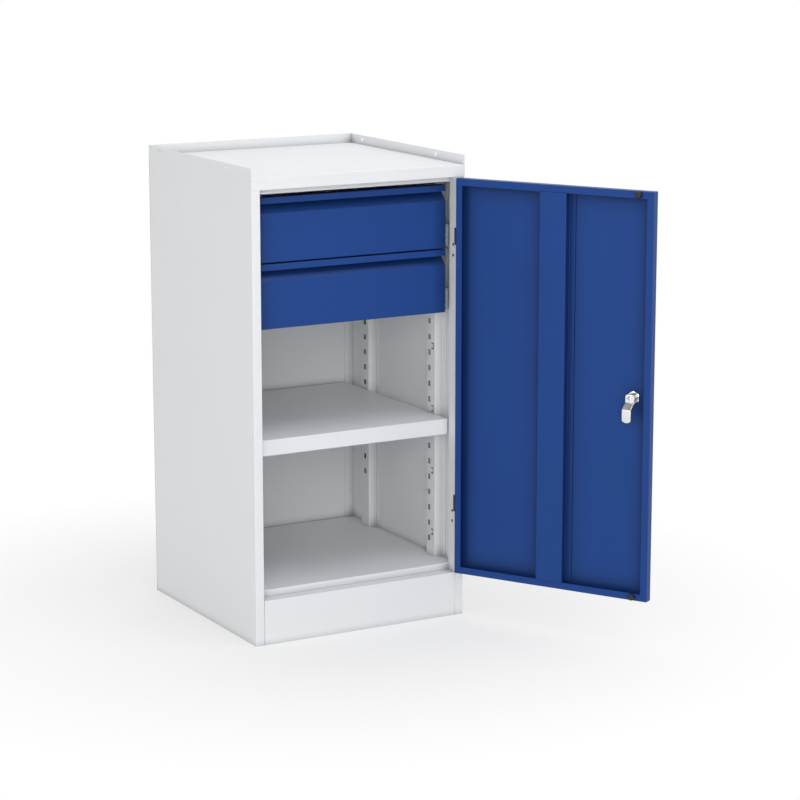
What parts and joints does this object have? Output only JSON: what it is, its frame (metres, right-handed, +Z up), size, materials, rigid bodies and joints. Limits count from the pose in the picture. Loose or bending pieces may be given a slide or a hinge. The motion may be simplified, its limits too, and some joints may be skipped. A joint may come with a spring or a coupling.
{
  "type": "tool cabinet",
  "caption": "Upright steel tool cabinet with a raised tray rim on top, drawers on ball slides above a shelf, and a hinged lockable door standing open",
  "frame": {"origin": "on the floor, under the middle of the carcass's footprint", "axes": "+X to the right seen from the front, +Y to the back, +Z up; the door opening faces -Y"},
  "size_m": [0.7173, 0.906, 1],
  "materials": {
    "light_grey_paint": "smooth light grey powder coat",
    "gentian_blue_paint": "smooth gentian blue powder coat",
    "zinc_plated_steel": "bright zinc plating",
    "blackened_steel": "black oxide, lightly oiled",
    "bright_steel": "polished bearing steel",
    "chromed_metal": "polished chrome plating",
    "black_rubber": "matt black"
  },
  "bodies": {
    "carcass": {"left_side_panel": "light_grey_paint", "right_side_panel": "light_grey_paint", "back_panel": "light_grey_paint", "back_rivets": "light_grey_paint", "top_panel": "light_grey_paint", "door_stop_rail": "light_grey_paint", "bottom_panel": "light_grey_paint", "plinth_frame": "light_grey_paint", "front_left_post": "light_grey_paint", "front_right_post": "light_grey_paint", "rear_left_post": "light_grey_paint", "rear_right_post": "light_grey_paint", "rail_rivets": "zinc_plated_steel", "hinge_screws": "blackened_steel", "upper_hinge_frame_leaf": "blackened_steel", "lower_hinge_frame_leaf": "blackened_steel", "upper_hinge_pin": "blackened_steel", "lower_hinge_pin": "blackened_steel", "front_shelf_clips": "zinc_plated_steel", "rear_shelf_clips": "zinc_plated_steel", "upper_left_cabinet_rail": "zinc_plated_steel", "upper_right_cabinet_rail": "zinc_plated_steel", "lower_left_cabinet_rail": "zinc_plated_steel", "lower_right_cabinet_rail": "zinc_plated_steel"},
    "door": {"door_panel": "gentian_blue_paint", "door_rib": "gentian_blue_paint", "upper_door_bumper": "black_rubber", "lower_door_bumper": "black_rubber", "lock_body": "chromed_metal", "lock_nut": "chromed_metal", "upper_hinge_door_leaf": "blackened_steel", "lower_hinge_door_leaf": "blackened_steel"},
    "lock_core": {"lock_plug": "chromed_metal", "lock_cam": "zinc_plated_steel", "cam_screw": "zinc_plated_steel"},
    "shelf": {"shelf": "light_grey_paint", "shelf_rib": "light_grey_paint"},
    "upper_drawer": {"upper_drawer_front": "gentian_blue_paint", "upper_drawer_floor": "light_grey_paint", "upper_drawer_sides": "light_grey_paint", "upper_drawer_ends": "light_grey_paint", "upper_left_drawer_rail": "zinc_plated_steel", "upper_right_drawer_rail": "zinc_plated_steel", "upper_drawer_rail_rivets": "zinc_plated_steel"},
    "upper_cages": {"upper_ball_cages": "zinc_plated_steel", "upper_slide_balls": "bright_steel"},
    "lower_drawer": {"lower_drawer_front": "gentian_blue_paint", "lower_drawer_floor": "light_grey_paint", "lower_drawer_sides": "light_grey_paint", "lower_drawer_ends": "light_grey_paint", "lower_left_drawer_rail": "zinc_plated_steel", "lower_right_drawer_rail": "zinc_plated_steel", "lower_drawer_rail_rivets": "zinc_plated_steel"},
    "lower_cages": {"lower_ball_cages": "zinc_plated_steel", "lower_slide_balls": "bright_steel"}
  },
  "joints": [
    {"name": "door_swing", "type": "hinge", "parent": "carcass", "child": "door", "pos_m": [0.234, -0.247, 0.5255], "axis": [0, 0, 1], "range_deg": [-120, 0]},
    {"name": "lock_cam_turn", "type": "hinge", "parent": "door", "child": "lock_core", "pos_m": [0.42741, -0.618, 0.5255], "axis": [-0.866, -0.5, 0], "range_deg": [0, 90]},
    {"name": "shelf_lift", "type": "slide", "parent": "carcass", "child": "shelf", "axis": [0, 0, 1], "range_m": [0, 0.03]},
    {"name": "upper_drawer_slide", "type": "slide", "parent": "carcass", "child": "upper_drawer", "axis": [0, -1, 0], "range_m": [0, 0.3]},
    {"name": "upper_cages_slide", "type": "slide", "parent": "carcass", "child": "upper_cages", "axis": [0, -1, 0], "range_m": [0, 0.15]},
    {"name": "lower_drawer_slide", "type": "slide", "parent": "carcass", "child": "lower_drawer", "axis": [0, -1, 0], "range_m": [0, 0.3]},
    {"name": "lower_cages_slide", "type": "slide", "parent": "carcass", "child": "lower_cages", "axis": [0, -1, 0], "range_m": [0, 0.15]}
  ],
  "couplings": [
    {"joint": "upper_cages_slide", "follows": "upper_drawer_slide", "ratio": 0.5},
    {"joint": "lower_cages_slide", "follows": "lower_drawer_slide", "ratio": 0.5}
  ]
}
